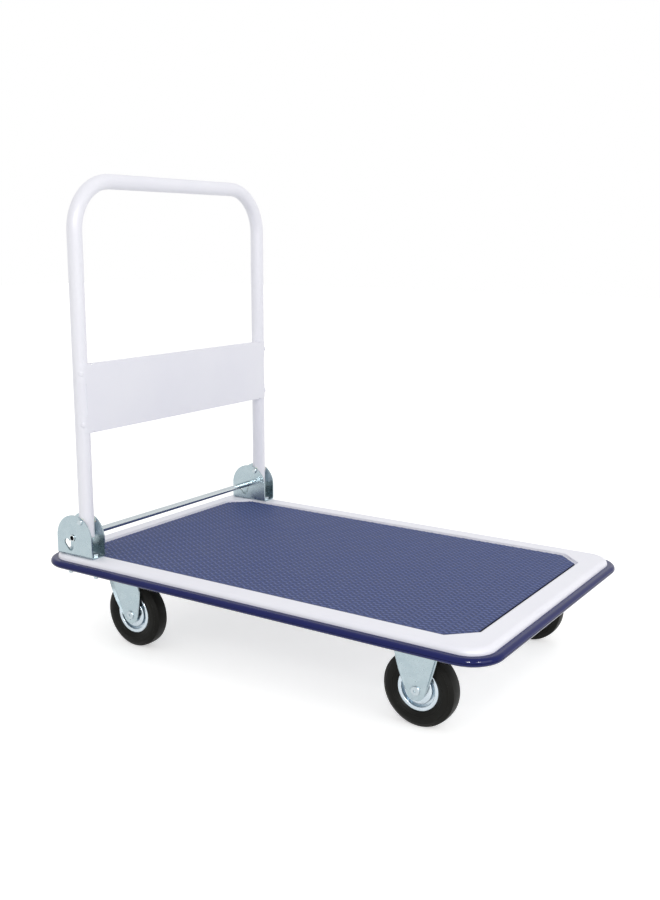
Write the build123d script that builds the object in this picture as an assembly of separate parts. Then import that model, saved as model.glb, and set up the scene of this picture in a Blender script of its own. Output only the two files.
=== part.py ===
from build123d import *
from math import acos, atan2, cos, degrees, hypot, radians, sin
import os

# Folding platform cart. Millimetres, +Z up, origin on the floor under the deck's centre.
# +X points forwards, away from the handle. Left is +Y and right is -Y.

# Deck: a pressed steel pan, open below, with a rubber mat and a rubber edge.
deck_length = 889.0
deck_width = 568.0
deck_corner_radius = 43.0
deck_edge_radius = 10.0
deck_sheet = 1.2
skirt_depth = 27.5
bumper_reach = 14.0
bumper_height = 13.0
bumper_drop = 10.2
bumper_round = 6.4
bumper_groove = 0.9
mat_front_border = 46.3
mat_rear_border = 37.5
mat_side_border = 42.2
mat_corner_cut = 37.5
mat_thickness = 3.0
mat_edge_gap = 5.8
recess_depth = 5.5
recess_edge_radius = 1.4

# Stiffening channels welded under the deck.
channel_width = 40.0
channel_depth = 15.0
channel_sheet = 1.5
channel_lip = 12.0
channel_offset = 190.0
channel_end_gap = 1.0

# Wheels and casters. The caster height is from the floor to the underside of the deck's recess.
caster_height = 161.8
wheel_diameter = 125.0
tyre_width = 32.0
tyre_tread_width = 21.0
tyre_crown_drop = 0.9
tyre_bead_width = 25.6
tyre_seat_radius = 31.6
rim_flange_radius = 36.0
rim_flange_inner = 30.0
rim_disc_radius = 27.0
rim_sheet = 1.6
rim_half_width = 12.6
hub_half_width = 14.6
bush_radius = 8.0
axle_radius = 5.0
axle_head_radius = 8.0
axle_head_height = 2.2
axle_dimple_radius = 2.6
axle_dimple_depth = 1.5
caster_inset_x = 132.5
caster_inset_y = 66.0
swivel_trail = 27.5

# Caster plates and forks, pressed from one gauge of steel.
fork_sheet = 2.5
fork_leg_gap = 1.5
fork_eye_radius = 16.6
fork_top_half = 43.0
fork_lip_depth = 6.0
fork_lip_sheet = 2.0
fork_lip_flare_deg = 45.0
plate_length = 98.0
plate_width = 72.0
plate_corner_radius = 8.0
stud_spacing_x = 60.0
stud_spacing_y = 56.0
stud_radius = 4.0
stud_length = 12.8
nut_across_flats = 13.0
nut_height = 6.5

# Swivel bearing.
race_radius = 26.5
race_depth = 8.5
ball_radius = 2.4
ball_count = 18
crown_radius = 30.5
crown_lip = 3.7
kingpin_radius = 5.0
kingpin_head_radius = 9.0
kingpin_head_height = 4.0
swivel_leg_rear = 28.0
swivel_leg_front = 30.0
swivel_shoulder_x = 43.0
swivel_shoulder_drop = 18.0
swivel_knee_x = 50.5
swivel_knee_drop = 34.0

# Folding handle.
post_inset_x = 81.5
post_inset_y = 22.0
tube_diameter = 27.0
tube_wall = 1.5
handle_height = 856.0
handle_bend_radius = 88.0
post_tail = 30.0
panel_sheet = 1.0
panel_low = 399.5
panel_height = 124.5
panel_flange = 12.0
panel_notch_radius = 2.4
ear_upper_height = 33.0
ear_lower_height = 30.0
ear_end_gap = 1.2
ear_wrap_deg = 76.0
rivet_radius = 2.0
rivet_head_radius = 4.4
rivet_head_height = 1.7
rivet_inset = 16.5

# Handle brackets, their pivot pins and the foot release bar.
bracket_length = 88.0
bracket_height = 77.9
bracket_sheet = 2.5
bracket_bend_radius = 5.0
bracket_lead = 27.6
post_side_gap = 1.0
pivot_rise = 67.5
pin_radius = 3.5
pin_head_radius = 5.5
pin_head_height = 2.4
washer_radius = 8.0
washer_thickness = 0.8
bar_radius = 6.0
bar_wall = 1.5
bar_behind_pivot = 20.5
bar_below_pivot = 32.5
bar_travel = 20.0
bar_overhang = 1.8
slot_lean_deg = 18.0
slot_hook_lean_deg = 42.0
slot_hook_length = 13.0
slot_play = 0.4
spring_radius = 6.2
spring_wire = 1.4
spring_turns = 4
spring_set_back = 5.5
bolt_front_x = 18.0
bolt_rear_x = -47.0
bolt_length = 43.0
bolt_head_height = 5.3

# Clearances.
running_gap = 0.05
bolt_hole_gap = 0.5
side_gap = 0.2

# Places that follow from the sizes above.
deck_under = caster_height
recess_floor = deck_under + deck_sheet
deck_top = recess_floor + recess_depth
border_under = deck_top - deck_sheet
skirt_low = deck_top - skirt_depth
wheel_radius = wheel_diameter / 2
axle_z = wheel_radius
caster_x = deck_length / 2 - caster_inset_x
caster_y = deck_width / 2 - caster_inset_y
plate_low = deck_under - fork_sheet
leg_inner = tyre_width / 2 + fork_leg_gap
leg_outer = leg_inner + fork_sheet
race_low = deck_under - race_depth
crown_top = race_low - side_gap - 2 * ball_radius
crown_low = crown_top - fork_sheet
tube_radius = tube_diameter / 2
post_x = -(deck_length / 2 - post_inset_x)
post_y = deck_width / 2 - post_inset_y
pivot_z = deck_top + pivot_rise
post_low = pivot_z - post_tail
bracket_x = post_x + bracket_lead - bracket_length / 2
bracket_inner = tube_radius + post_side_gap
bracket_outer = bracket_inner + bracket_sheet
base_top = deck_top + bracket_sheet
bar_x = post_x - bar_behind_pivot
bar_z = pivot_z - bar_below_pivot
bolt_places_x = (post_x + bolt_front_x, post_x + bolt_rear_x)

BASE = (Align.CENTER, Align.CENTER, Align.MIN)
LEFT_RIGHT = {"left": 1, "right": -1}


def save(node, *pieces):
    """Write one node, as a single solid or as a group of separate solids."""
    solids = [solid for piece in pieces for solid in piece.solids()]
    export_step(solids[0] if len(solids) == 1 else Compound(solids), f"parts/{node}.step")


def upright(radius, x, y, z_low, z_high):
    """A vertical round bar."""
    return Pos(x, y, z_low) * Cylinder(radius, z_high - z_low, align=BASE)


def crosswise(radius, x, z, y_low, y_high):
    """A round bar that runs across the cart."""
    return Pos(x, y_low, z) * Rot(-90, 0, 0) * Cylinder(radius, y_high - y_low, align=BASE)


def side_plate(outline, y_low, y_high):
    """A flat plate whose outline is drawn in X and Z."""
    half = (y_high - y_low) / 2
    return Pos(0, (y_low + y_high) / 2, 0) * extrude(Plane.XZ * outline, amount=half, both=True)


def hexagon(across_flats, x, y, z_low, height):
    """A hexagonal prism with two flats facing across the cart."""
    outline = RegularPolygon(across_flats / 2, 6, major_radius=False)
    return Pos(x, y, z_low) * extrude(outline, amount=height)


def tangent_point(point, centre, radius, side):
    """Where a straight edge from a point meets a round end."""
    away_x = point[0] - centre[0]
    away_z = point[1] - centre[1]
    turn = atan2(away_z, away_x) + side * acos(radius / hypot(away_x, away_z))
    return (centre[0] + radius * cos(turn), centre[1] + radius * sin(turn))


# Deck


def pan_body(inset, low):
    """The closed outer form of the pan, set in by a wall."""
    outline = RectangleRounded(deck_length - 2 * inset, deck_width - 2 * inset, deck_corner_radius - inset)
    top = deck_top - inset
    body = Pos(0, 0, low) * extrude(outline, amount=top - low)
    return fillet(body.edges().group_by(Axis.Z)[-1], deck_edge_radius - inset)


def mat_outline():
    """A rectangle with its four corners cut at 45 degrees."""
    front = deck_length / 2 - mat_front_border
    rear = mat_rear_border - deck_length / 2
    half = deck_width / 2 - mat_side_border
    cut = mat_corner_cut
    return Polygon(
        (front, -half + cut), (front, half - cut), (front - cut, half), (rear + cut, half),
        (rear, half - cut), (rear, -half + cut), (rear + cut, -half), (front - cut, -half),
        align=None,
    )


def recess(grow, low):
    """The space of the mat's recess, grown by a wall, from a given height up past the deck's top."""
    outline = offset(mat_outline(), amount=mat_edge_gap + grow, kind=Kind.INTERSECTION)
    return Pos(0, 0, low) * extrude(outline, amount=deck_top + 1 - low)


def deck_pan():
    """Pressed pan: a raised border round a shallow recess for the mat."""
    pan = pan_body(0, skirt_low) - recess(0, recess_floor)
    rim = pan.edges().filter_by_position(Axis.Z, deck_top - 0.01, deck_top + 0.01)
    pan = fillet(rim, recess_edge_radius)
    pan -= pan_body(deck_sheet, skirt_low - deck_sheet) - recess(deck_sheet, deck_under)
    for side in LEFT_RIGHT.values():
        for x in bolt_places_x:
            pan -= upright(stud_radius + bolt_hole_gap, x, side * post_y, border_under - 1, deck_top + 1)
    return pan


def bumper():
    """Rubber edge that hugs the pan's skirt, with one fine groove round its face."""
    high = deck_top - bumper_drop
    low = high - bumper_height
    length = deck_length + 2 * bumper_reach
    width = deck_width + 2 * bumper_reach
    corner = deck_corner_radius + bumper_reach
    body = Pos(0, 0, low) * extrude(RectangleRounded(length, width, corner), amount=bumper_height)
    rims = body.edges().group_by(Axis.Z)
    body = fillet(rims[0] + rims[-1], bumper_round)
    inside = RectangleRounded(
        length - 2 * bumper_groove, width - 2 * bumper_groove, corner - bumper_groove
    )
    groove = RectangleRounded(length + 2, width + 2, corner + 1) - inside
    body -= Pos(0, 0, (low + high - bumper_groove) / 2) * extrude(groove, amount=bumper_groove)
    return body - pan_body(0, skirt_low)


def deck_mat():
    """Rubber mat that lies in the pan's recess."""
    mat = Pos(0, 0, recess_floor) * extrude(mat_outline(), amount=mat_thickness)
    return chamfer(mat.edges().group_by(Axis.Z)[-1], mat_thickness / 5)


def channel(x):
    """Hat-shaped stiffener across the deck, its lips against the underside of the recess."""
    half = channel_width / 2
    low = deck_under - channel_depth
    span = deck_width / 2 - mat_side_border + mat_edge_gap - channel_end_gap
    wall = channel_sheet
    outline = Polygon(
        (-half - channel_lip, deck_under), (-half - channel_lip, deck_under - wall),
        (-half, deck_under - wall), (-half, low), (half, low), (half, deck_under - wall),
        (half + channel_lip, deck_under - wall), (half + channel_lip, deck_under),
        (half - wall, deck_under), (half - wall, low + wall), (wall - half, low + wall),
        (wall - half, deck_under),
        align=None,
    )
    return Pos(x, 0, 0) * side_plate(outline, -span, span)


# Handle


def handle_tube():
    """The bent tube, with holes for the pivot pins and the panel's rivets."""
    top = handle_height - tube_radius
    right = [(post_x, -post_y, post_low), (post_x, -post_y, top)]
    left = [(post_x, post_y, top), (post_x, post_y, post_low)]
    path = FilletPolyline(*right, *left, radius=handle_bend_radius)
    ring = Circle(tube_radius) - Circle(tube_radius - tube_wall)
    tube = sweep(Pos(post_x, -post_y, post_low) * ring, path=path)
    reach = post_y + tube_diameter
    tube -= crosswise(pin_radius + running_gap, post_x, pivot_z, -reach, reach)
    for place in rivet_places():
        tube -= place * Cylinder(rivet_radius + running_gap, tube_radius + 2, align=BASE)
    return tube


def panel_ears(low, height):
    """A pair of ears that wrap round the front of the two posts."""
    ears = []
    outer = tube_radius + panel_sheet
    reach = 2 * outer
    for side in LEFT_RIGHT.values():
        turns = [radians(side * ear_wrap_deg * share) for share in (0, 0.5, 1)]
        wedge = Polygon((0, 0), *[(reach * cos(turn), reach * sin(turn)) for turn in turns], align=None)
        ring = (Circle(outer) - Circle(tube_radius)) & wedge
        ears.append(Pos(post_x, side * post_y, low) * extrude(ring, amount=height))
    return ears


def handle_panel():
    """Sheet panel between the posts, with its long edges turned back and ears round the tubes."""
    face = tube_radius + panel_sheet
    panel = Pos(post_x + face - panel_sheet / 2, 0, panel_low) * Box(
        panel_sheet, 2 * post_y, panel_height, align=BASE
    )
    half = post_y - tube_radius - panel_notch_radius
    for low in (panel_low, panel_low + panel_height - panel_sheet):
        panel += Pos(post_x + face - panel_flange / 2, 0, low) * Box(
            panel_flange, 2 * half, panel_sheet, align=BASE
        )
    for side in LEFT_RIGHT.values():
        for z in (panel_low, panel_low + panel_height):
            notch = Rot(0, 90, 0) * Cylinder(panel_notch_radius, 3 * panel_sheet)
            panel -= Pos(post_x + face, side * (half + panel_notch_radius / 2), z) * notch
    high_ears = panel_ears(panel_low + panel_height - ear_end_gap - ear_upper_height, ear_upper_height)
    low_ears = panel_ears(panel_low + ear_end_gap, ear_lower_height)
    for ear in high_ears + low_ears:
        panel += ear
    for place in rivet_places():
        panel -= place * Cylinder(rivet_radius + running_gap, face + 2, align=BASE)
    return panel


def rivet_places():
    """Frames on the posts' axes whose Z points out through the middle of each ear."""
    heights = (panel_low + rivet_inset, panel_low + panel_height - rivet_inset)
    return [
        Pos(post_x, side * post_y, z) * Rot(0, 0, side * ear_wrap_deg / 2) * Rot(0, 90, 0)
        for side in LEFT_RIGHT.values()
        for z in heights
    ]


def panel_rivets():
    """Dome-headed rivets through the ears and the front wall of the posts."""
    face = tube_radius + panel_sheet
    rivets = []
    for place in rivet_places():
        high = face + rivet_head_height
        head = Cylinder(rivet_head_radius, high, align=BASE)
        head = fillet(head.edges().group_by(Axis.Z)[-1], rivet_head_height * 0.8)
        head -= Rot(0, 90, 0) * Cylinder(face, 4 * rivet_head_radius)
        low = tube_radius - 2 * tube_wall
        shank = Pos(0, 0, low) * Cylinder(rivet_radius, face + rivet_head_height / 2 - low, align=BASE)
        rivets.append(place * (head + shank))
    return rivets


# Brackets


def release_slot():
    """Outline of the slot the bar slides in: a long leg down and back, then a short hook up."""
    lean = radians(slot_lean_deg)
    hook_lean = radians(slot_hook_lean_deg)
    half = bar_radius + slot_play
    top = (bar_x, bar_z)
    foot = (bar_x - bar_travel * sin(lean), bar_z - bar_travel * cos(lean))
    hook = (foot[0] - slot_hook_length * sin(hook_lean), foot[1] + slot_hook_length * cos(hook_lean))
    legs = []
    for start, end in ((top, foot), (foot, hook)):
        length = hypot(end[0] - start[0], end[1] - start[1])
        turn = atan2(end[1] - start[1], end[0] - start[0])
        middle = Pos((start[0] + end[0]) / 2, (start[1] + end[1]) / 2)
        legs.append(middle * Rot(0, 0, degrees(turn)) * SlotCenterToCenter(length, 2 * half))
    return legs[0] + legs[1]


def bracket(side):
    """One folded U bracket, with pivot holes, release slots and two bolt holes in its base."""
    radius = bracket_length / 2
    arch_z = deck_top + bracket_height - radius
    outline = Pos(bracket_x, (deck_top + arch_z) / 2) * Rectangle(bracket_length, arch_z - deck_top)
    arch = Pos(bracket_x, arch_z) * Circle(radius)
    outline += arch & Pos(bracket_x, arch_z + radius / 2) * Rectangle(bracket_length, radius)
    body = side_plate(outline, -bracket_outer, bracket_outer)
    body = fillet(body.edges().filter_by(Axis.X).group_by(Axis.Z)[0], bracket_bend_radius)
    inside = Pos(bracket_x, 0, base_top) * Box(
        bracket_length + 2, 2 * bracket_inner, bracket_height + 2, align=BASE
    )
    inner_bend = bracket_bend_radius - bracket_sheet
    body -= fillet(inside.edges().filter_by(Axis.X).group_by(Axis.Z)[0], inner_bend)
    reach = bracket_outer + 1
    body -= crosswise(pin_radius, post_x, pivot_z, -reach, reach)
    body -= side_plate(release_slot(), -reach, reach)
    for x in bolt_places_x:
        body -= upright(stud_radius + bolt_hole_gap, x, 0, deck_top - 1, base_top + 1)
    return Pos(0, side * post_y, 0) * body


def pivot_pin(side):
    """Pin peened over on both plates."""
    reach = bracket_outer + pin_head_height
    pin = crosswise(pin_radius, 0, 0, -reach + 1, reach - 1)
    for end in (-1, 1):
        head = Cylinder(pin_head_radius, pin_head_height, align=BASE)
        head = fillet(head.edges().group_by(Axis.Z)[-1], pin_head_height * 0.75)
        pin += Pos(0, end * bracket_outer, 0) * Rot(-90 * end, 0, 0) * head
    return Pos(post_x, side * post_y, pivot_z) * pin


def pivot_washers():
    """Thin washers on the pins, between the plates and the posts."""
    washers = []
    for side in LEFT_RIGHT.values():
        for end in (-1, 1):
            near = side * post_y + end * (bracket_inner - washer_thickness / 2)
            low = near - washer_thickness / 2
            high = near + washer_thickness / 2
            disc = crosswise(washer_radius, post_x, pivot_z, low, high)
            washers.append(disc - crosswise(pin_radius + running_gap, post_x, pivot_z, low - 1, high + 1))
    return washers


def release_bar():
    """Foot bar: a tube from bracket to bracket, through the slots of all four plates."""
    reach = post_y + bracket_outer + bar_overhang
    bar = crosswise(bar_radius, bar_x, bar_z, -reach, reach)
    return bar - crosswise(bar_radius - bar_wall, bar_x, bar_z, -reach - 1, reach + 1)


def release_spring(side):
    """Compression spring that stands on the bracket's base and lifts the bar."""
    height = bar_z - bar_radius - side_gap - base_top - 2 * spring_wire / 2
    coil = Helix(pitch=height / spring_turns, height=height, radius=spring_radius)
    wire = sweep(Plane(origin=coil @ 0, z_dir=coil % 0) * Circle(spring_wire / 2), path=coil)
    return Pos(bar_x - spring_set_back, side * post_y, base_top + spring_wire / 2) * wire


def bracket_bolts():
    bolts = []
    for side in LEFT_RIGHT.values():
        for x in bolt_places_x:
            shank = upright(stud_radius, x, side * post_y, base_top - bolt_length, base_top + 1)
            shank = chamfer(shank.edges().group_by(Axis.Z)[0], stud_radius / 5)
            bolts.append(shank + hexagon(nut_across_flats, x, side * post_y, base_top, bolt_head_height))
    return bolts


def nut(x, y, high):
    """A hexagon nut whose upper face is at the given height."""
    low = high - nut_height
    return hexagon(nut_across_flats, x, y, low, nut_height) - upright(
        stud_radius + running_gap, x, y, low - 1, high + 1
    )


def bracket_nuts():
    return [nut(x, side * post_y, border_under) for side in LEFT_RIGHT.values() for x in bolt_places_x]


# Casters


def stud_places():
    """Places of the four studs about a caster's centre."""
    return [
        (step_x * stud_spacing_x / 2, step_y * stud_spacing_y / 2)
        for step_x in (-1, 1)
        for step_y in (-1, 1)
    ]


def top_plate():
    """Mounting plate under the deck, with four stud holes, about the caster's centre."""
    outline = RectangleRounded(plate_length, plate_width, plate_corner_radius)
    plate = Pos(0, 0, plate_low) * extrude(outline, amount=fork_sheet)
    for x, y in stud_places():
        plate -= upright(stud_radius + bolt_hole_gap, x, y, plate_low - 1, deck_under + 1)
    return plate


def fork_leg(shoulders, eye_x, side):
    """A leg that runs from its shoulders down to a round eye, with lips turned out along its edges."""
    eye = (eye_x, axle_z)
    rear = tangent_point(shoulders[0], eye, fork_eye_radius, 1)
    front = tangent_point(shoulders[-1], eye, fork_eye_radius, -1)
    outline = Polygon(*shoulders, front, eye, rear, align=None) + Pos(*eye) * Circle(fork_eye_radius)
    low = min(side * leg_inner, side * leg_outer)
    leg = side_plate(outline, low, low + fork_sheet)
    for foot, head, turn in ((rear, shoulders[0], -1), (front, shoulders[-1], 1)):
        leg += edge_lip(foot, head, turn, side)
    return leg - crosswise(axle_radius + 2 * running_gap, eye_x, axle_z, low - 1, low + fork_sheet + 1)


def edge_lip(foot, head, turn, side):
    """A lip that flares out along one sloping edge of a leg and runs out at both ends."""
    run = Vector(head[0] - foot[0], 0, head[1] - foot[1])
    length = run.length
    flare = radians(fork_lip_flare_deg)
    beside = Vector(turn * run.Z, 0, -turn * run.X) / length
    flared = beside * cos(flare) + Vector(0, side, 0) * sin(flare)
    start = Vector(foot[0], side * (leg_outer - fork_lip_sheet / 2), foot[1])
    place = Plane(origin=start, x_dir=run, z_dir=run.cross(flared))
    edge = [Line((0, 0), (length, 0)), ThreePointArc((length, 0), (length / 2, fork_lip_depth), (0, 0))]
    return extrude(place * make_face(edge), amount=fork_lip_sheet / 2, both=True)


def rigid_fork(side):
    """Fixed fork: top plate and two legs in one pressing."""
    top = plate_low + fork_sheet / 2
    shoulders = ((-fork_top_half, top), (fork_top_half, top))
    fork = top_plate()
    for leg_side in LEFT_RIGHT.values():
        fork += fork_leg(shoulders, 0, leg_side)
    return Pos(caster_x, side * caster_y, 0) * fork


def swivel_plate(side):
    """Top plate with the upper ball race pressed down in its middle."""
    inner = race_radius - fork_sheet
    plate = top_plate() + upright(race_radius, 0, 0, race_low, deck_under)
    plate -= upright(inner, 0, 0, race_low + fork_sheet, deck_under + 1)
    plate -= upright(kingpin_radius, 0, 0, race_low - 1, deck_under + 1)
    return Pos(-caster_x, side * caster_y, 0) * plate


def swivel_fork(side):
    """Turning fork: a crown with a raised rim, and two legs that trail behind the kingpin."""
    fork = upright(crown_radius, 0, 0, crown_low, crown_top + crown_lip)
    fork -= upright(crown_radius - fork_sheet, 0, 0, crown_top, crown_top + crown_lip + 1)
    middle = (swivel_leg_front - swivel_leg_rear) / 2
    fork += Pos(middle, 0, crown_low) * Box(
        swivel_leg_front + swivel_leg_rear, 2 * leg_outer, fork_sheet, align=BASE
    )
    top = crown_low + fork_sheet / 2
    shoulders = (
        (-swivel_leg_rear, top), (swivel_leg_front, top),
        (swivel_shoulder_x, crown_low - swivel_shoulder_drop), (swivel_knee_x, crown_low - swivel_knee_drop),
    )
    for leg_side in LEFT_RIGHT.values():
        fork += fork_leg(shoulders, swivel_trail, leg_side)
    fork -= upright(kingpin_radius + running_gap, 0, 0, crown_low - 1, crown_top + 1)
    return Pos(-caster_x, side * caster_y, 0) * fork


def swivel_balls(side):
    ring = (race_radius + kingpin_radius + kingpin_head_radius) / 2 + ball_radius / 2
    centre = Pos(-caster_x, side * caster_y, crown_top + ball_radius)
    turns = [Rot(0, 0, index * 360 / ball_count) for index in range(ball_count)]
    return [centre * turn * Pos(ring, 0, 0) * Sphere(ball_radius) for turn in turns]


def kingpin(side):
    """Pin peened over above the race and below the crown."""
    low = crown_low - side_gap
    seat = race_low + fork_sheet
    pin = upright(kingpin_radius, 0, 0, low - 1, seat + 1)
    pin += upright(kingpin_head_radius, 0, 0, seat, seat + kingpin_head_height)
    head = upright(kingpin_head_radius, 0, 0, low - kingpin_head_height, low)
    pin += fillet(head.edges().group_by(Axis.Z)[0], kingpin_head_height / 2)
    return Pos(-caster_x, side * caster_y, 0) * pin


def caster_studs():
    """Weld studs under the deck that hold the four casters."""
    studs = []
    for x, y in caster_centres():
        for step_x, step_y in stud_places():
            stud = upright(stud_radius, x + step_x, y + step_y, deck_under - stud_length, deck_under)
            studs.append(chamfer(stud.edges().group_by(Axis.Z)[0], stud_radius / 5))
    return studs


def caster_nuts():
    return [
        nut(x + step_x, y + step_y, plate_low)
        for x, y in caster_centres()
        for step_x, step_y in stud_places()
    ]


def caster_centres():
    return [(end * caster_x, side * caster_y) for end in (-1, 1) for side in (-1, 1)]


# Wheels


def tyre():
    """Solid rubber tyre with a slightly domed tread, about its own centre with its axle along Y."""
    seat = rim_half_width - rim_sheet
    widest = (rim_flange_radius + wheel_radius) / 2
    edges = []
    for sign in LEFT_RIGHT.values():
        bead = (rim_flange_radius + 0.3, sign * seat)
        neck = (rim_flange_radius + 1.5, sign * tyre_bead_width / 2)
        side = (widest, sign * tyre_width / 2)
        tread = (wheel_radius - tyre_crown_drop, sign * tyre_tread_width / 2)
        edges += [
            Line((tyre_seat_radius, sign * seat), bead),
            Line(bead, neck),
            TangentArc(side, neck, tangent=(-1, 0)),
            TangentArc(side, tread, tangent=(1, 0)),
        ]
    edges.append(ThreePointArc((tread[0], -tread[1]), (wheel_radius, 0), tread))
    edges.append(Line((tyre_seat_radius, -seat), (tyre_seat_radius, seat)))
    return revolve(make_face(edges), axis=Axis.Y)


def rim_half(sign):
    """One pressed disc of the rim, from the bush out to the flange that holds the tyre."""
    wall = rim_sheet
    flange = rim_half_width
    dish = rim_disc_radius
    shoulder = 10.5
    points = (
        (rim_flange_radius, flange), (rim_flange_inner, flange), (rim_flange_inner, wall), (dish, wall),
        (dish, flange - 1), (dish - 2, flange), (shoulder, hub_half_width), (bush_radius, hub_half_width),
        (bush_radius, hub_half_width - wall), (shoulder - 0.2, hub_half_width - wall),
        (dish - 2.4, flange - wall), (dish - wall, flange - wall - 0.6), (dish - wall, 0),
        (tyre_seat_radius, 0), (tyre_seat_radius, flange - wall), (rim_flange_radius, flange - wall),
    )
    outline = Polygon(*[(r, sign * y) for r, y in points], align=None)
    rounded = outline.vertices().filter_by(
        lambda v: abs(v.X - rim_flange_radius) < 0.01 or abs(v.X - rim_flange_inner) < 0.01
    )
    outline = fillet(rounded, wall * 0.4)
    return revolve(outline, axis=Axis.Y)


def wheel_bush():
    half = leg_inner - side_gap
    return crosswise(bush_radius, 0, 0, -half, half) - crosswise(
        axle_radius + running_gap, 0, 0, -half - 1, half + 1
    )


def axle():
    """Plain axle with a low domed head on each end and a dimple in each head."""
    body = crosswise(axle_radius, 0, 0, -leg_outer - 1, leg_outer + 1)
    floor = axle_head_height - axle_dimple_depth
    for end in LEFT_RIGHT.values():
        seat = Pos(0, end * leg_outer, 0) * Rot(-90 * end, 0, 0)
        head = Cylinder(axle_head_radius, axle_head_height, align=BASE)
        body += seat * fillet(head.edges().group_by(Axis.Z)[-1], axle_head_height * 0.75)
        body -= seat * Pos(0, 0, floor) * Cylinder(axle_dimple_radius, axle_head_height, align=BASE)
    return body


def save_wheel(name, x, y):
    """Write the four nodes of one wheel at its place."""
    place = Pos(x, y, axle_z)
    save(f"tyre_{name}", place * tyre())
    save(f"rim_{name}", place * rim_half(1), place * rim_half(-1))
    save(f"bush_{name}", place * wheel_bush())
    save(f"axle_{name}", place * axle())


def main():
    os.makedirs("parts", exist_ok=True)
    save("deck_pan", deck_pan())
    save("deck_bumper", bumper())
    save("deck_mat", deck_mat())
    save("channel_front", channel(channel_offset))
    save("channel_rear", channel(-channel_offset))
    save("handle_tube", handle_tube())
    save("handle_panel", handle_panel())
    save("panel_rivets", *panel_rivets())
    save("pivot_washers", *pivot_washers())
    save("release_bar", release_bar())
    save("bracket_bolts", *bracket_bolts())
    save("bracket_nuts", *bracket_nuts())
    save("caster_studs", *caster_studs())
    save("caster_nuts", *caster_nuts())
    for name, side in LEFT_RIGHT.items():
        save(f"bracket_{name}", bracket(side))
        save(f"pivot_pin_{name}", pivot_pin(side))
        save(f"release_spring_{name}", release_spring(side))
        save(f"rigid_fork_{name}", rigid_fork(side))
        save(f"swivel_plate_{name}", swivel_plate(side))
        save(f"swivel_fork_{name}", swivel_fork(side))
        save(f"swivel_balls_{name}", *swivel_balls(side))
        save(f"kingpin_{name}", kingpin(side))
        save_wheel(f"front_{name}", caster_x, side * caster_y)
        save_wheel(f"rear_{name}", swivel_trail - caster_x, side * caster_y)


main()
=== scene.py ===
# %% [markdown]
# # Folding platform cart
#
# The cart is a pressed steel deck on four wheels, with a tube handle that folds forward over it. The solid
# model already has every piece at its true place and size, so this lesson is about two things: the finish
# of each surface, and the few pieces whose fine shape the solids leave out.
#
# Everything is in metres. +X points forwards, away from the handle, +Y is the cart's left and +Z is up.

# %% Load the solid model
import bmesh
import bpy
from math import cos, pi, radians, sin
from mathutils import Matrix, Vector


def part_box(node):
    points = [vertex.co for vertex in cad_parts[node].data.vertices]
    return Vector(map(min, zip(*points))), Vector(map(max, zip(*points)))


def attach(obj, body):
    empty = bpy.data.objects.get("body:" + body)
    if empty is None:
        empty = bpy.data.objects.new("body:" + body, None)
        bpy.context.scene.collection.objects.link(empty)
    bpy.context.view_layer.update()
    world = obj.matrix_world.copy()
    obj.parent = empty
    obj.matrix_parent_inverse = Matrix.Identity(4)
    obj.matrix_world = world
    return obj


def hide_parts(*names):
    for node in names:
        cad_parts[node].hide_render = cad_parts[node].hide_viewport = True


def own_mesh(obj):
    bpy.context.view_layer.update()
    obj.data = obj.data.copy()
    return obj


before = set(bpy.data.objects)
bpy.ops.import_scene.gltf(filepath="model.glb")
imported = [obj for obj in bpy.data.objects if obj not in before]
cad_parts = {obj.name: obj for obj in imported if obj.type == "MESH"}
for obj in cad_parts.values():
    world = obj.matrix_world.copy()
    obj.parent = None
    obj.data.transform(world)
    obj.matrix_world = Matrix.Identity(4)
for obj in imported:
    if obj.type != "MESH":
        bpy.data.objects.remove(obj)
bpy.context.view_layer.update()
mm = 0.001
print("pieces of the solid model:", len(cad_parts))

# %% [markdown]
# ## The camera
#
# A catalogue picture of a cart is taken from a standing person's distance with a normal lens. The camera
# looks a little down and along the cart's near side. It is turned by three angles, one after the other:
# round the vertical, down, and a slight roll about its own line of sight.

# %% Camera
camera_data = bpy.data.cameras.new("catalogue_camera")
camera = bpy.data.objects.new("catalogue_camera", camera_data)
bpy.context.scene.collection.objects.link(camera)
camera_data.lens = 41.98
camera_data.sensor_width = 36.0
camera.location = (1.0259, -1.5764, 0.7459)
turn_left, look_down, roll = radians(33.109), radians(11.429), radians(0.264)
turned = Matrix.Rotation(turn_left, 3, "Z") @ Matrix.Rotation(pi / 2 - look_down, 3, "X")
camera.rotation_euler = (turned @ Matrix.Rotation(roll, 3, "Z")).to_euler()
bpy.context.scene.camera = camera
print("camera at", [round(v, 3) for v in camera.location], "lens", camera_data.lens)

# %% [markdown]
# ## Colours and nodes
#
# Colours are easiest to choose as sRGB hex values, as a paint chart gives them, but a shader counts in linear
# light, so one helper turns one into the other. A second helper adds a node. It either sets an input or links
# it, so that each material below reads from its patterns down to its surface.

# %% Helpers for materials
def linear(hex_colour):
    """Turns an sRGB hex colour into the linear numbers that a shader wants."""
    channels = [int(hex_colour[i:i + 2], 16) / 255 for i in (1, 3, 5)]
    return [c / 12.92 if c <= 0.04045 else ((c + 0.055) / 1.055) ** 2.4 for c in channels] + [1.0]


def add_node(tree, kind, inputs=None, **settings):
    """Adds one node. Each input is given a value, or another node's output to be linked to."""
    node = tree.nodes.new("ShaderNode" + kind)
    for name, value in settings.items():
        setattr(node, name, value)
    for name, value in (inputs or {}).items():
        if isinstance(value, bpy.types.NodeSocket):
            tree.links.new(value, node.inputs[name])
        else:
            node.inputs[name].default_value = value
    return node


plain_white, paper_white = linear("#FFFFFF"), linear("#F0F0EE")
print("the floor's paper white is", [round(c, 3) for c in paper_white])

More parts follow.
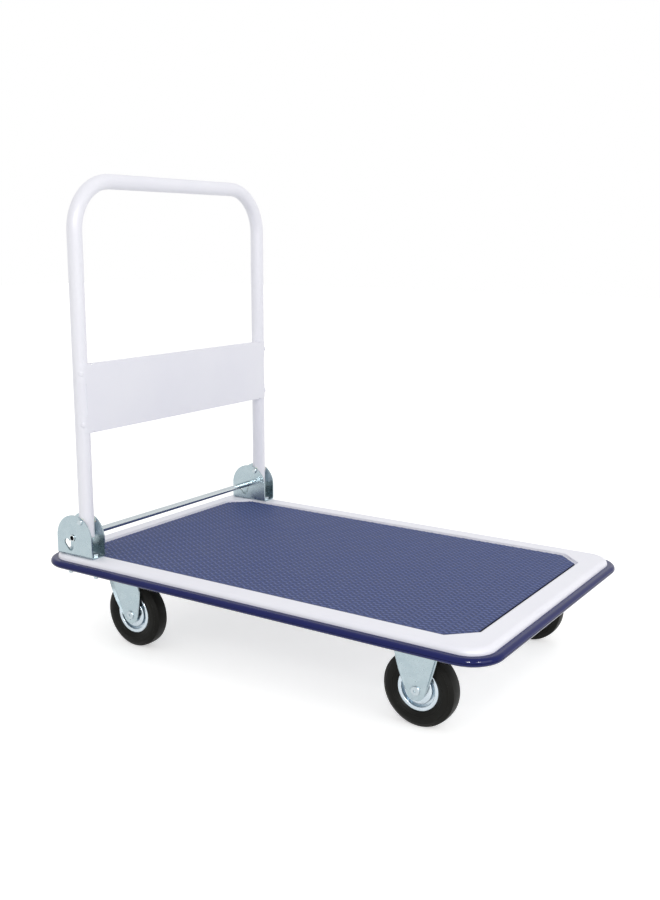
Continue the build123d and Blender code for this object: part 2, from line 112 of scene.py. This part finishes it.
# %% [markdown]
# ## Studio floor, world and lamps
#
# White goods are shot on a white sweep under large soft boxes, so that nothing has a hard shadow. The floor
# is a plain diffuse sheet that still takes the cart's shadow. For rays that come straight from the camera,
# or by way of a shiny surface, a little glow is added to it, which lifts the paper to white without
# putting more light on the cart. Seen from below the sheet is clear, so that the underside can be looked at.

# %% Floor
floor_span, paper_glow = 24.0, 0.46
floor_material = bpy.data.materials.new("white_studio_paper")
floor_material.use_nodes = True
tree = floor_material.node_tree
tree.nodes.clear()
rays = add_node(tree, "LightPath")
seen = add_node(tree, "Math", {0: rays.outputs["Is Camera Ray"], 1: rays.outputs["Is Glossy Ray"]},
                operation="MAXIMUM")
seen = add_node(tree, "Math", {0: seen.outputs[0], 1: rays.outputs["Is Transmission Ray"]},
                operation="MAXIMUM")
lift = add_node(tree, "Math", {0: seen.outputs[0], 1: paper_glow}, operation="MULTIPLY")
paper = add_node(tree, "BsdfDiffuse", {"Color": paper_white})
glow = add_node(tree, "Emission", {"Color": plain_white, "Strength": lift.outputs[0]})
sheet = add_node(tree, "AddShader", {0: paper.outputs[0], 1: glow.outputs[0]})
side = add_node(tree, "NewGeometry")
clear = add_node(tree, "BsdfTransparent")
both = add_node(tree, "MixShader", {0: side.outputs["Backfacing"], 1: sheet.outputs[0], 2: clear.outputs[0]})
add_node(tree, "OutputMaterial", {"Surface": both.outputs[0]})

bpy.ops.object.select_all(action="DESELECT")
bpy.ops.mesh.primitive_plane_add(size=floor_span, location=(0.0, 0.0, 0.0))
floor = bpy.context.object
floor.name = "studio_floor"
floor.data.materials.append(floor_material)
print("floor made,", floor.dimensions.x, "m across")

# %% [markdown]
# The air all round is white, as in a light tent, and does most of the lighting. It lights the cart a little
# less strongly than it looks, which keeps the white paint from clipping against the white behind it.

# %% World
world = bpy.data.worlds.new("studio_air")
bpy.context.scene.world = world
world.use_nodes = True
tree = world.node_tree
tree.nodes.clear()
rays = add_node(tree, "LightPath")
seen = add_node(tree, "Math", {0: rays.outputs["Is Camera Ray"], 1: rays.outputs["Is Glossy Ray"]},
                operation="MAXIMUM")
strength = add_node(tree, "MapRange", {"Value": seen.outputs[0], "To Min": 0.84, "To Max": 1.0})
air = add_node(tree, "Background", {"Color": plain_white, "Strength": strength.outputs[0]})
add_node(tree, "OutputWorld", {"Surface": air.outputs[0]})
print("world:", world.name)

# %% [markdown]
# Two large soft boxes, overhead and in front, shape the tubes and the deck's border. One box by the near
# corner is small, so it is bright for the little light that it gives. Two more light nothing and are only
# mirrored: they draw the crisp glints on the glossy edge strip that a large soft box can't.

# %% Lamps
def add_lamp(name, place, aim, size, power, only_glints=False):
    """Hangs a square soft box and points it at the cart. One that only makes glints lights nothing else."""
    data = bpy.data.lights.new(name, "AREA")
    data.shape, data.size, data.energy = "SQUARE", size, power
    lamp = bpy.data.objects.new(name, data)
    bpy.context.scene.collection.objects.link(lamp)
    lamp.location = place
    lamp.rotation_euler = (Vector(aim) - Vector(place)).to_track_quat("-Z", "Y").to_euler()
    lamp.visible_diffuse = not only_glints
    return lamp


lamps = [
    add_lamp("soft_box_overhead", place=(-0.2, -0.3, 2.6), aim=(0.0, 0.0, 0.2), size=1.8, power=1.0),
    add_lamp("soft_box_front", place=(2.6, -0.6, 1.3), aim=(-0.3, 0.0, 0.5), size=1.4, power=16.0),
    add_lamp("small_box_near_corner", place=(1.5, -2.3, 1.9), aim=(0.3, -0.3, 0.2), size=0.26, power=7.5),
]
near_corner = (0.4, -0.3, 0.2)
for name, spot in (("glint_box_side", (1.3, -2.4, 1.8)), ("glint_box_front", (2.5, -1.6, 1.8))):
    lamps.append(add_lamp(name, spot, near_corner, size=0.36, power=40.0, only_glints=True))
print("lamps:", [lamp.name for lamp in lamps])

# %% [markdown]
# ## Finishes
#
# Each finish starts from what the real surface is and how it was made. One helper begins a material with the
# node that all of them share, the place of a point on its piece. Another ends it with the surface shader and
# the output, and a third puts it on pieces.

# %% Begin and end a finish
def begin_finish(name):
    """A new material, its empty node tree, and the place of a point on the piece."""
    material = bpy.data.materials.new(name)
    material.use_nodes = True
    tree = material.node_tree
    tree.nodes.clear()
    return material, tree, add_node(tree, "TexCoord").outputs["Object"]


def end_finish(tree, shader_inputs):
    """Ends the tree with a Principled shader, whose inputs are values or other nodes' outputs."""
    shader = add_node(tree, "BsdfPrincipled", shader_inputs)
    add_node(tree, "OutputMaterial", {"Surface": shader.outputs[0]})


def dress(material, pieces):
    """Gives the material to the pieces, in place of what they had, and counts them."""
    for piece in pieces:
        piece.data.materials.clear()
        piece.data.materials.append(material)
    return len(pieces)


def solids(*names):
    """Pieces of the solid model."""
    return [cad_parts[name] for name in names]


ends, sides = ("front", "rear"), ("left", "right")
wheels = [f"{end}_{side}" for end in ends for side in sides]
print("wheels:", wheels)

# %% [markdown]
# **White powder coat.** Dry powder is sprayed on the bent steel and baked, so it flows into a skin with a
# faint orange peel, about one bump in 1.5 mm, and edges stay softly rounded. It is a plastic, not a metal:
# an IOR of 1.5 and a satin roughness. The white is cool. A slow drift of a percent or two in its colour
# keeps large faces from looking like a flat fill.

# %% White powder coat
white_coat, tree, place = begin_finish("white_powder_coat_steel")
drift = add_node(tree, "TexNoise", {"Vector": place, "Scale": 1 / (111 * mm), "Detail": 3.0})
tint = add_node(tree, "Mix", {0: drift.outputs["Fac"], 6: linear("#E6E6EF"), 7: linear("#EEEEF4")},
                data_type="RGBA")
peel = add_node(tree, "TexNoise", {"Vector": place, "Scale": 1 / (1.5 * mm), "Detail": 1.0})
skin = add_node(tree, "Bump", {"Height": peel.outputs["Fac"], "Strength": 0.10, "Distance": 0.08 * mm})
satin = add_node(tree, "MapRange", {"Value": drift.outputs["Fac"], "To Min": 0.34, "To Max": 0.44})
end_finish(tree, {"Base Color": tint.outputs[2], "Roughness": satin.outputs[0], "Normal": skin.outputs[0],
                  "IOR": 1.5})
painted = solids("deck_pan", "channel_front", "channel_rear", "handle_tube", "handle_panel", "panel_rivets")
print("powder coat on", dress(white_coat, painted), "pieces")

# %% [markdown]
# ** Bright zinc plate.** Brackets, forks and wheel discs are pressed from sheet and electroplated, then
# dipped in a blue chromate. The plate is a true metal with a cool tint. Its rolled grain still shows as
# faint lines, and the bath leaves cloudy patches where the surface is a little duller. The wheel discs look
# paler than the other pressed steel, so a second plate differs from the first in its two colours alone: its
# lighter colours are painted light, standing in for the brightness that the discs get from what they reflect.

# %% Bright zinc plate
def zinc_plate(name, cloudy, clear):
    """Zinc plate on pressed sheet, with a colour for its cloudy and one for its clear patches."""
    plate, tree, place = begin_finish(name)
    clouds = add_node(tree, "TexNoise", {"Vector": place, "Scale": 1 / (14 * mm), "Detail": 4.0,
                                         "Roughness": 0.6})
    tint = add_node(tree, "Mix", {0: clouds.outputs["Fac"], 6: linear(cloudy), 7: linear(clear)},
                    data_type="RGBA")
    stretch = add_node(tree, "Mapping", {"Vector": place,
                                         "Scale": (1 / (30 * mm), 1 / (30 * mm), 1 / (0.6 * mm))})
    grain = add_node(tree, "TexNoise", {"Vector": stretch.outputs[0], "Scale": 1.0, "Detail": 3.0})
    lines = add_node(tree, "Bump", {"Height": grain.outputs["Fac"], "Strength": 0.12, "Distance": 0.05 * mm})
    dull = add_node(tree, "MapRange", {"Value": clouds.outputs["Fac"], "To Min": 0.20, "To Max": 0.34})
    end_finish(tree, {"Base Color": tint.outputs[2], "Metallic": 1.0, "Roughness": dull.outputs[0],
                      "Normal": lines.outputs[0]})
    return plate


zinc = zinc_plate("blue_zinc_plated_steel", "#9BABB3", "#B5C3C8")
# The discs' plate is a lighter copy of the zinc: its paler colours are painted light for what the discs
# reflect.
disc_zinc_painted_paler = zinc_plate("zinc_plated_discs_painted_paler", "#BCC8D2", "#D2DCE2")
pressed_kinds = ("bracket", "rigid_fork", "swivel_plate", "swivel_fork")
pressed = solids(*[f"{kind}_{side}" for kind in pressed_kinds for side in sides])
print("zinc plate on", dress(zinc, pressed), "pieces")

# %% [markdown]
# **Drawn and plated bar.** The foot bar is drawn tube under the same plate. Drawing polishes it, so it is far
# smoother than sheet: it shows the light above it and the blue mat below it as two clear bands.

# %% Drawn bar
bar_finish, tree, place = begin_finish("drawn_zinc_plated_tube")
clouds = add_node(tree, "TexNoise", {"Vector": place, "Scale": 1 / (20 * mm), "Detail": 3.0})
dull = add_node(tree, "MapRange", {"Value": clouds.outputs["Fac"], "To Min": 0.14, "To Max": 0.26})
end_finish(tree, {"Base Color": linear("#CBD3D6"), "Metallic": 1.0, "Roughness": dull.outputs[0]})
print("drawn tube on", dress(bar_finish, solids("release_bar")), "piece")

# %% [markdown]
# **Plated fasteners.** Pins, bolts, nuts and axles are cold headed and barrel plated. Tumbling in the barrel
# leaves them brighter than the sheet, with small dents about 2 mm apart.

# %% Plated fasteners
fastener, tree, place = begin_finish("barrel_plated_steel")
dents = add_node(tree, "TexVoronoi", {"Vector": place, "Scale": 1 / (2 * mm)})
tint = add_node(tree, "Mix", {0: dents.outputs["Distance"], 6: linear("#C3CDD2"), 7: linear("#AEBAC0")},
                data_type="RGBA")
knock = add_node(tree, "Bump", {"Height": dents.outputs["Distance"], "Strength": 0.15, "Distance": 0.05 * mm})
end_finish(tree, {"Base Color": tint.outputs[2], "Metallic": 1.0, "Roughness": 0.30,
                  "Normal": knock.outputs[0]})
fixings = ["bracket_bolts", "bracket_nuts", "caster_studs", "caster_nuts"]
fixings += [f"{kind}_{side}" for kind in ("pivot_pin", "kingpin") for side in sides]
fixings += [f"axle_{wheel}" for wheel in wheels]
print("fastener plate on", dress(fastener, solids(*fixings)), "pieces")

# %% [markdown]
# **Oiled spring steel.** Springs and bearing balls are bare hard steel under a film of oil: darker and
# warmer than zinc, and smooth. The springs get it further down, once they are wound.

# %% Oiled spring steel
spring_steel, tree, place = begin_finish("oiled_spring_steel")
film = add_node(tree, "TexNoise", {"Vector": place, "Scale": 1 / (5 * mm), "Detail": 3.0})
tint = add_node(tree, "Mix", {0: film.outputs["Fac"], 6: linear("#5E5C58"), 7: linear("#86857F")},
                data_type="RGBA")
end_finish(tree, {"Base Color": tint.outputs[2], "Metallic": 1.0, "Roughness": 0.28})
ball_rings = solids(*[f"swivel_balls_{side}" for side in sides])
print("spring steel on", dress(spring_steel, ball_rings), "pieces")

# %% [markdown]
# **Nylon.** The washers at the pivots and the bushes in the wheels are moulded nylon in its natural milky
# white. Light goes a millimetre or so into it before it comes back.

# %% Nylon
nylon, tree, place = begin_finish("natural_nylon")
flow = add_node(tree, "TexNoise", {"Vector": place, "Scale": 1 / (6 * mm), "Detail": 2.0})
tint = add_node(tree, "Mix", {0: flow.outputs["Fac"], 6: linear("#D9D8CF"), 7: linear("#E4E3DB")},
                data_type="RGBA")
end_finish(tree, {"Base Color": tint.outputs[2], "Roughness": 0.45, "IOR": 1.53, "Subsurface Weight": 0.3,
                  "Subsurface Scale": 1.0 * mm})
moulded = solids("pivot_washers", *[f"bush_{wheel}" for wheel in wheels])
print("nylon on", dress(nylon, moulded), "pieces")

# %% [markdown]
# **Navy PVC edge.** Glossy edge strips like this one are usually extruded from soft PVC, a rubbery plastic,
# and pushed over the skirt. The die leaves them smooth, with very fine lines along their length.

# %% Navy edge
navy_pvc, tree, place = begin_finish("navy_extruded_pvc")
stretch = add_node(tree, "Mapping", {"Vector": place,
                                     "Scale": (1 / (60 * mm), 1 / (60 * mm), 1 / (0.8 * mm))})
die_lines = add_node(tree, "TexNoise", {"Vector": stretch.outputs[0], "Scale": 1.0, "Detail": 3.0})
tint = add_node(tree, "Mix", {0: die_lines.outputs["Fac"], 6: linear("#08104A"), 7: linear("#0E1A60")},
                data_type="RGBA")
fine = add_node(tree, "Bump", {"Height": die_lines.outputs["Fac"], "Strength": 0.10, "Distance": 0.04 * mm})
shine = add_node(tree, "MapRange", {"Value": die_lines.outputs["Fac"], "To Min": 0.07, "To Max": 0.13})
end_finish(tree, {"Base Color": tint.outputs[2], "Roughness": shine.outputs[0], "Normal": fine.outputs[0],
                  "IOR": 1.53, "Specular IOR Level": 0.2})
print("navy PVC on", dress(navy_pvc, solids("deck_bumper")), "piece")

# %% [markdown]
# ## The tyres
#
# A solid tyre is moulded between two plates that meet over the tread. The plates are turned on a lathe, so
# they leave fine raised rings on the sidewalls. A torus would give a round section without rings, so the
# section is shaped first and then spun round the axle, as the lathe did it.
#
# Half of the section is worked out first, as points with a radius and a half width: the seat in the rim, up
# one sidewall with its rings, and over the domed tread to the middle.

# %% Tyre section
tyre_low, tyre_high = (Vector(corner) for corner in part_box("tyre_front_left"))
tyre_centre = (tyre_low + tyre_high) / 2
crown, half_width = (tyre_high.z - tyre_low.z) / 2, (tyre_high.y - tyre_low.y) / 2
seat, seat_half, seat_step = 31.6 * mm, 11.0 * mm, 1.2 * mm
bead, bead_half = 37.5 * mm, 12.8 * mm
shoulder, tread_half = crown - 0.9 * mm, 10.5 * mm
widest = (bead + shoulder) / 2
ring_rise, ring_radii = 0.35 * mm, (42.0 * mm, 44.5 * mm, 55.5 * mm)
ring_foot, ring_top = 0.65 * mm, 0.35 * mm
wall_steps, tread_steps = 14, 4


def sidewall(radius):
    """Half the tyre's width at a radius: two gentle arcs that meet where the tyre is widest."""
    end, end_half = (bead, bead_half) if radius < widest else (shoulder, tread_half)
    return half_width - (half_width - end_half) * ((radius - widest) / (end - widest)) ** 2


def tyre_section():
    """Half of the section, from the seat to the middle of the tread, as radius and half width."""
    wall = [bead + (shoulder - bead) * step / wall_steps for step in range(wall_steps + 1)]
    points = [(seat, seat_half), (bead - seat_step, seat_half)]
    points += [(r, sidewall(r)) for r in wall if not any(abs(r - ring) < ring_top for ring in ring_radii)]
    for ring in ring_radii:
        points += [(ring + offset, sidewall(ring + offset)) for offset in (-ring_foot, ring_foot)]
        points += [(ring + offset, sidewall(ring + offset) + ring_rise) for offset in (-ring_top, ring_top)]
    shares = [step / tread_steps for step in reversed(range(tread_steps))]
    tread = [(crown - (crown - shoulder) * share ** 2, tread_half * share) for share in shares]
    return sorted(points) + tread


half_section = tyre_section()
print("points in half of the tyre's section:", len(half_section))

# %% [markdown]
# The mirrored half closes the section. A circle with as many points is the start: its points are set along
# the section, and it is spun round the axle in edit mode. The first and the last turn of the spin lie on each
# other, so doubles are merged before the faces are turned outwards.

# %% Spin the tyre
spin_steps, same_point, crisp_angle = 96, 0.01 * mm, radians(38)


def spin_round_axle(half_section):
    """Closes a half section with its mirror image and spins it round the front left wheel's axle."""
    section = half_section + [(r, -h) for r, h in reversed(half_section) if h > 0.0]
    bpy.ops.object.select_all(action="DESELECT")
    bpy.ops.mesh.primitive_circle_add(vertices=len(section), radius=crown)
    spun = bpy.context.object
    for vertex, (radius, across) in zip(spun.data.vertices, section):
        vertex.co = tyre_centre + Vector((0.0, across, radius))
    bpy.ops.object.mode_set(mode="EDIT")
    bpy.ops.mesh.select_all(action="SELECT")
    bpy.ops.mesh.spin(steps=spin_steps, angle=2 * pi, center=tyre_centre, axis=(0.0, 1.0, 0.0))
    bpy.ops.mesh.select_all(action="SELECT")
    bpy.ops.mesh.remove_doubles(threshold=same_point)
    bpy.ops.mesh.normals_make_consistent(inside=False)
    bpy.ops.object.mode_set(mode="OBJECT")
    bpy.ops.object.transform_apply(location=True, rotation=True, scale=True)
    bpy.ops.object.shade_smooth_by_angle(angle=crisp_angle)
    return spun


first_tyre = spin_round_axle(half_section)
print("tyre faces:", len(first_tyre.data.polygons))

# %% [markdown]
# The other three are copies with their own mesh, moved to their wheels. Each rides on its wheel's body.

# %% Four of each
def one_for_each_wheel(first, kind, stands_for):
    """Copies a spun piece to all four wheels and says what each copy rides on and stands for."""
    pieces = []
    for wheel in wheels:
        piece = first
        if wheel != "front_left":
            bpy.ops.object.select_all(action="DESELECT")
            first.select_set(True)
            bpy.context.view_layer.objects.active = first
            bpy.ops.object.duplicate()
            piece = bpy.context.object
            low, high = (Vector(corner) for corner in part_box(f"tyre_{wheel}"))
            bpy.ops.transform.translate(value=(low + high) / 2 - tyre_centre)
            bpy.ops.object.transform_apply(location=True, rotation=True, scale=True)
        piece.name = f"{kind}_{wheel}"
        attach(piece, f"wheel_{wheel}")
        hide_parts(f"{stands_for}_{wheel}")
        pieces.append(piece)
    return pieces


tyres = one_for_each_wheel(first_tyre, "moulded_tyre", "tyre")
print("tyres:", [tyre.name for tyre in tyres])

# %% [markdown]
# **Black tyre rubber.** The tyres are moulded from carbon black rubber. A new one has a dull sheen, a faint
# stone-like grain from the mould, and slightly greyer patches where it was handled.

# %% Black tyre rubber
tyre_rubber, tree, place = begin_finish("black_moulded_rubber")
patches = add_node(tree, "TexNoise", {"Vector": place, "Scale": 1 / (18 * mm), "Detail": 4.0,
                                      "Roughness": 0.6})
tint = add_node(tree, "Mix", {0: patches.outputs["Fac"], 6: linear("#0E0E0C"), 7: linear("#191916")},
                data_type="RGBA")
grain = add_node(tree, "TexNoise", {"Vector": place, "Scale": 1 / (0.7 * mm), "Detail": 2.0})
stone = add_node(tree, "Bump", {"Height": grain.outputs["Fac"], "Strength": 0.25, "Distance": 0.06 * mm})
sheen = add_node(tree, "MapRange", {"Value": patches.outputs["Fac"], "To Min": 0.40, "To Max": 0.52})
end_finish(tree, {"Base Color": tint.outputs[2], "Roughness": sheen.outputs[0], "Normal": stone.outputs[0],
                  "IOR": 1.5, "Specular IOR Level": 0.13})
print("tyre rubber on", dress(tyre_rubber, tyres), "pieces")

# %% [markdown]
# ## The rims
#
# Each rim is two discs pressed from sheet and set back to back. The press gives them soft corners: the
# flange that holds the tyre is rolled into a round bead, a deep groove follows, and the disc inside it turns
# over a rounded shoulder and rises to the hub. Those soft corners are what draws the bright rings on the
# wheel, so they are arcs of a few points each, and the section is spun just as the tyre was.

# %% Rim section
hub_low, hub_high = (Vector(corner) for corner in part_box("bush_front_left"))
rim_low, rim_high = (Vector(corner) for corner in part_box("rim_front_left"))
hub_radius = (hub_high.z - hub_low.z) / 2
rim_radius, hub_half = (rim_high.z - rim_low.z) / 2, (rim_high.y - rim_low.y) / 2
flange_half = bead_half - 0.2 * mm
groove_outer, groove_inner, groove_floor = 29.2 * mm, 24.8 * mm, 3.5 * mm
bead_round, shoulder_round = 1.6 * mm, 2.6 * mm
hub_edge, disc_slope = 10.5 * mm, 8


def arc(centre_radius, centre_half, size, start, end, steps=5):
    """Points of an arc in the section. Angles are in degrees from straight outwards, towards the bead."""
    turns = [radians(start + (end - start) * step / steps) for step in range(steps + 1)]
    return [(centre_radius + size * cos(turn), centre_half + size * sin(turn)) for turn in turns]


shoulder_half, bead_centre = flange_half - shoulder_round, flange_half - bead_round
rim_section = [(hub_radius, hub_half), (hub_edge, hub_half)]
rim_section += arc(groove_inner - shoulder_round, shoulder_half, shoulder_round, 90 - disc_slope, 0)
rim_section += [(groove_inner, groove_floor), (groove_outer, groove_floor)]
rim_section += arc(groove_outer + bead_round, bead_centre, bead_round, 180, 90)
rim_section += arc(rim_radius - bead_round, bead_centre, bead_round, 90, 0)
rim_section += [(seat, bead_centre)]
first_rim = spin_round_axle(rim_section)
print("rim faces:", len(first_rim.data.polygons))

# %% [markdown]
# The rims are copied to the other wheels just as the tyres were, and take the discs' plate, painted paler.

# %% Four rims
rims = one_for_each_wheel(first_rim, "pressed_rim", "rim")
print("bright zinc plate on", dress(disc_zinc_painted_paler, rims), "rims")

# %% [markdown]
# ## The release springs
#
# Two short coil springs stand on the bracket floors and hold the foot bar up in its slots, and shorten when
# it is pressed. The solid model already has them, and each one is wound again here: a small circle, set off
# from the spring's axis, is carried round and up by a screw modifier, and the two ends are filled, where the
# shading stays crisp.

# %% Wind the springs
wire, wire_sides = 1.4 * mm, 10
spring_turns, steps_a_turn, end_angle = 4, 24, radians(60)


def wind_spring(side):
    """One coil spring, as large as the solid that it stands for."""
    low, high = (Vector(corner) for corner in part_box(f"release_spring_{side}"))
    coil_radius, height = (high.x - low.x - wire) / 2, high.z - low.z
    foot = Vector(((low.x + high.x) / 2, (low.y + high.y) / 2, low.z + wire / 2))
    bpy.ops.object.select_all(action="DESELECT")
    bpy.ops.mesh.primitive_circle_add(vertices=wire_sides, radius=wire / 2, location=foot,
                                      rotation=(pi / 2, 0.0, 0.0))
    spring = bpy.context.object
    bpy.ops.object.transform_apply(location=False, rotation=True, scale=False)
    bpy.ops.object.mode_set(mode="EDIT")
    bpy.ops.mesh.select_all(action="SELECT")
    bpy.ops.transform.translate(value=(coil_radius, 0.0, 0.0))
    bpy.ops.object.mode_set(mode="OBJECT")
    winding = spring.modifiers.new("winding", "SCREW")
    winding.axis, winding.angle, winding.iterations = "Z", 2 * pi, spring_turns
    winding.screw_offset = (height - wire) / spring_turns
    winding.steps = winding.render_steps = steps_a_turn
    bpy.ops.object.modifier_apply(modifier=winding.name)
    bpy.ops.object.mode_set(mode="EDIT")
    bpy.ops.mesh.select_all(action="SELECT")
    bpy.ops.mesh.fill_holes(sides=0)
    bpy.ops.mesh.normals_make_consistent(inside=False)
    bpy.ops.object.mode_set(mode="OBJECT")
    bpy.ops.object.transform_apply(location=True, rotation=True, scale=True)
    bpy.ops.object.shade_smooth_by_angle(angle=end_angle)
    spring.name = f"coiled_spring_{side}"
    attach(spring, "chassis")
    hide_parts(f"release_spring_{side}")
    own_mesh(spring)
    return spring


springs = [wind_spring(side) for side in sides]
print("spring steel on", dress(spring_steel, springs), "springs of", len(springs[0].data.polygons), "faces")

# %% [markdown]
# ## The embossed mat
#
# The mat is rubber sheet calendered between rollers, one of them engraved. Low lozenges stand on it in two
# families that lean opposite ways, so that a load can't slide in any direction. A bump map would be lighter,
# but the lozenges are 13 mm long and catch real light along their flanks, so each one is modelled. They are
# small and many, about four thousand, so one lozenge has only eight sides and a flat top.
#
# First comes the sheet: a cube at the mat's size, less the height of the lozenges, with its corners cut.

# %% Mat sheet
lozenge_rise, corner_cut = 0.7 * mm, 37.5 * mm
mat_low, mat_high = (Vector(corner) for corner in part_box("deck_mat"))
sheet_size = mat_high - mat_low - Vector((0.0, 0.0, lozenge_rise))
sheet_top = mat_high.z - lozenge_rise

bpy.ops.object.select_all(action="DESELECT")
bpy.ops.mesh.primitive_cube_add(size=1.0, location=mat_low + sheet_size / 2, scale=sheet_size)
bpy.ops.object.transform_apply(location=True, rotation=True, scale=True)
mat_sheet = bpy.context.object
mat_sheet.name = "embossed_mat"


def mat_cuts(inset):
    """The eight cuts round the mat, each as a point on it and the direction that is thrown away."""
    cuts = []
    for sign in (-1, 1):
        edge = mat_high if sign > 0 else mat_low
        cuts.append((Vector((edge.x - sign * inset, 0, 0)), Vector((sign, 0, 0))))
        cuts.append((Vector((0, edge.y - sign * inset, 0)), Vector((0, sign, 0))))
        for other in (-1, 1):
            side_edge = mat_high.y if other > 0 else mat_low.y
            away = Vector((sign, other, 0)).normalized()
            cuts.append((Vector((edge.x - sign * corner_cut, side_edge, 0)) - inset * away, away))
    return cuts


def trim(piece, cuts):
    """Cuts a piece at each plane, drops what lies outside and closes the cut."""
    bpy.context.view_layer.objects.active = piece
    bpy.ops.object.mode_set(mode="EDIT")
    for point, away in cuts:
        bpy.ops.mesh.select_all(action="SELECT")
        bpy.ops.mesh.bisect(plane_co=point, plane_no=away, use_fill=True, clear_outer=True)
    bpy.ops.object.mode_set(mode="OBJECT")


trim(mat_sheet, mat_cuts(inset=0.0))
print("mat sheet:", [round(v / mm, 1) for v in mat_sheet.dimensions], "mm,",
      len(mat_sheet.data.polygons), "faces")

# %% [markdown]
# A knife leaves a crisp edge, which handling then softens, so the rim of the sheet gets a small bevel. The
# rim's edges are picked by their height: both ends of each lie at the sheet's top, give or take a hair.

# %% Soften the mat's rim
hair, rim_bevel = 0.1 * mm, 0.5 * mm


def select_where(piece, kind, test):
    """In edit mode, selects the piece's edges or faces that pass the test and drops the others."""
    edit_mesh = bmesh.from_edit_mesh(piece.data)
    for element in getattr(edit_mesh, kind):
        element.select = test(element)
    bmesh.update_edit_mesh(piece.data)


bpy.ops.object.mode_set(mode="EDIT")
bpy.ops.mesh.select_mode(type="EDGE")
bpy.ops.mesh.select_all(action="DESELECT")
select_where(mat_sheet, "edges", lambda edge: all(vertex.co.z > sheet_top - hair for vertex in edge.verts))
bpy.ops.mesh.bevel(offset=rim_bevel, segments=2)
bpy.ops.object.mode_set(mode="OBJECT")
print("mat sheet now has", len(mat_sheet.data.polygons), "faces")

# %% [markdown]
# One lozenge is a cylinder with eight sides, stretched and turned, whose top is drawn in so that its flanks
# slope. Its underside would never be seen and is deleted. Two array modifiers repeat it along the roll and
# across it, and are applied. The other family leans the other way, half a step along and across. Both start
# a step outside the mat and end outside it, and are then trimmed just inside the bevelled rim.

# %% Lozenges
lozenge_length, lozenge_width, lozenge_top = 13.0 * mm, 4.2 * mm, 0.72
step_along, step_across, spare_rows = 17.4 * mm, 10.43 * mm, 3
lean, bare_rim, nearly_upright = radians(31), 0.6 * mm, 0.9


def lozenge_family(turn, shift):
    """All the lozenges that lean one way."""
    first = mat_low + Vector((step_along, step_across, 0.0)) * (shift - 1)
    first.z = sheet_top + lozenge_rise / 2
    bpy.ops.object.select_all(action="DESELECT")
    bpy.ops.mesh.primitive_cylinder_add(vertices=8, radius=0.5, depth=1.0, location=first,
                                        rotation=(0.0, 0.0, turn),
                                        scale=(lozenge_length, lozenge_width, lozenge_rise))
    family = bpy.context.object
    bpy.ops.object.mode_set(mode="EDIT")
    bpy.ops.mesh.select_mode(type="FACE")
    bpy.ops.mesh.select_all(action="DESELECT")
    select_where(family, "faces", lambda face: face.normal.z > nearly_upright)
    bpy.ops.transform.resize(value=(lozenge_top, lozenge_top, 1.0))
    select_where(family, "faces", lambda face: face.normal.z < -nearly_upright)
    bpy.ops.mesh.delete(type="FACE")
    bpy.ops.object.mode_set(mode="OBJECT")
    bpy.ops.object.transform_apply(location=True, rotation=True, scale=True)
    spans = ((sheet_size.x, Vector((step_along, 0, 0))), (sheet_size.y, Vector((0, step_across, 0))))
    for span, step in spans:
        rows = family.modifiers.new("rows", "ARRAY")
        rows.use_relative_offset, rows.use_constant_offset = False, True
        rows.constant_offset_displace = step
        rows.count = int(span / step.length) + spare_rows
        bpy.ops.object.modifier_apply(modifier=rows.name)
    return family


families = [lozenge_family(-lean, shift=0.0), lozenge_family(lean, shift=0.5)]
for family in families:
    trim(family, mat_cuts(bare_rim))
print("faces in the lozenges:", [len(family.data.polygons) for family in families])

# %% [markdown]
# The lozenges join the sheet, and the finished mat stands for the plain one of the solid model.

# %% Join the mat
bpy.ops.object.select_all(action="DESELECT")
for part in families + [mat_sheet]:
    part.select_set(True)
bpy.context.view_layer.objects.active = mat_sheet
bpy.ops.object.join()
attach(mat_sheet, "chassis")
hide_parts("deck_mat")
print("embossed mat:", len(mat_sheet.data.polygons), "faces")

# %% [markdown]
# ** Blue mat rubber.** Calendered rubber is dull and a grey blue, with a fine leathery grain between the
# lozenges. Dust and the roller leave slow patches of a slightly different blue. The tops of the lozenges are
# painted paler than the ground, a painted highlight for the light that the tops catch, so the colour follows
# the height.

# %% Blue mat rubber
mat_rubber, tree, place = begin_finish("blue_calendered_rubber")
patches = add_node(tree, "TexNoise", {"Vector": place, "Scale": 1 / (60 * mm), "Detail": 5.0,
                                      "Roughness": 0.65})
ground = add_node(tree, "Mix", {0: patches.outputs["Fac"], 6: linear("#172A5E"), 7: linear("#20346A")},
                  data_type="RGBA")
# Painted highlight: the lozenges' tops get a paler blue, standing in for the light that falls on them.
painted_highlight_tops = add_node(tree, "Mix", {0: patches.outputs["Fac"], 6: linear("#445489"), 7: linear("#516095")},
                     data_type="RGBA")
height = add_node(tree, "SeparateXYZ", {0: place})
raised = add_node(tree, "MapRange", {"Value": height.outputs["Z"], "From Min": sheet_top + hair,
                                     "From Max": mat_high.z})
tint = add_node(tree, "Mix", {0: raised.outputs[0], 6: ground.outputs[2], 7: painted_highlight_tops.outputs[2]},
                data_type="RGBA")
grain = add_node(tree, "TexNoise", {"Vector": place, "Scale": 1 / (1.2 * mm), "Detail": 3.0})
leather = add_node(tree, "Bump", {"Height": grain.outputs["Fac"], "Strength": 0.3, "Distance": 0.08 * mm})
sheen = add_node(tree, "MapRange", {"Value": patches.outputs["Fac"], "To Min": 0.46, "To Max": 0.60})
end_finish(tree, {"Base Color": tint.outputs[2], "Roughness": sheen.outputs[0], "Normal": leather.outputs[0],
                  "IOR": 1.5})
print("mat rubber on", dress(mat_rubber, [mat_sheet]), "piece")

# %% [markdown]
# ## Colour management
#
# The Standard view shows a colour about as it was written.

# %% Finish
bpy.context.scene.view_settings.view_transform = "Standard"
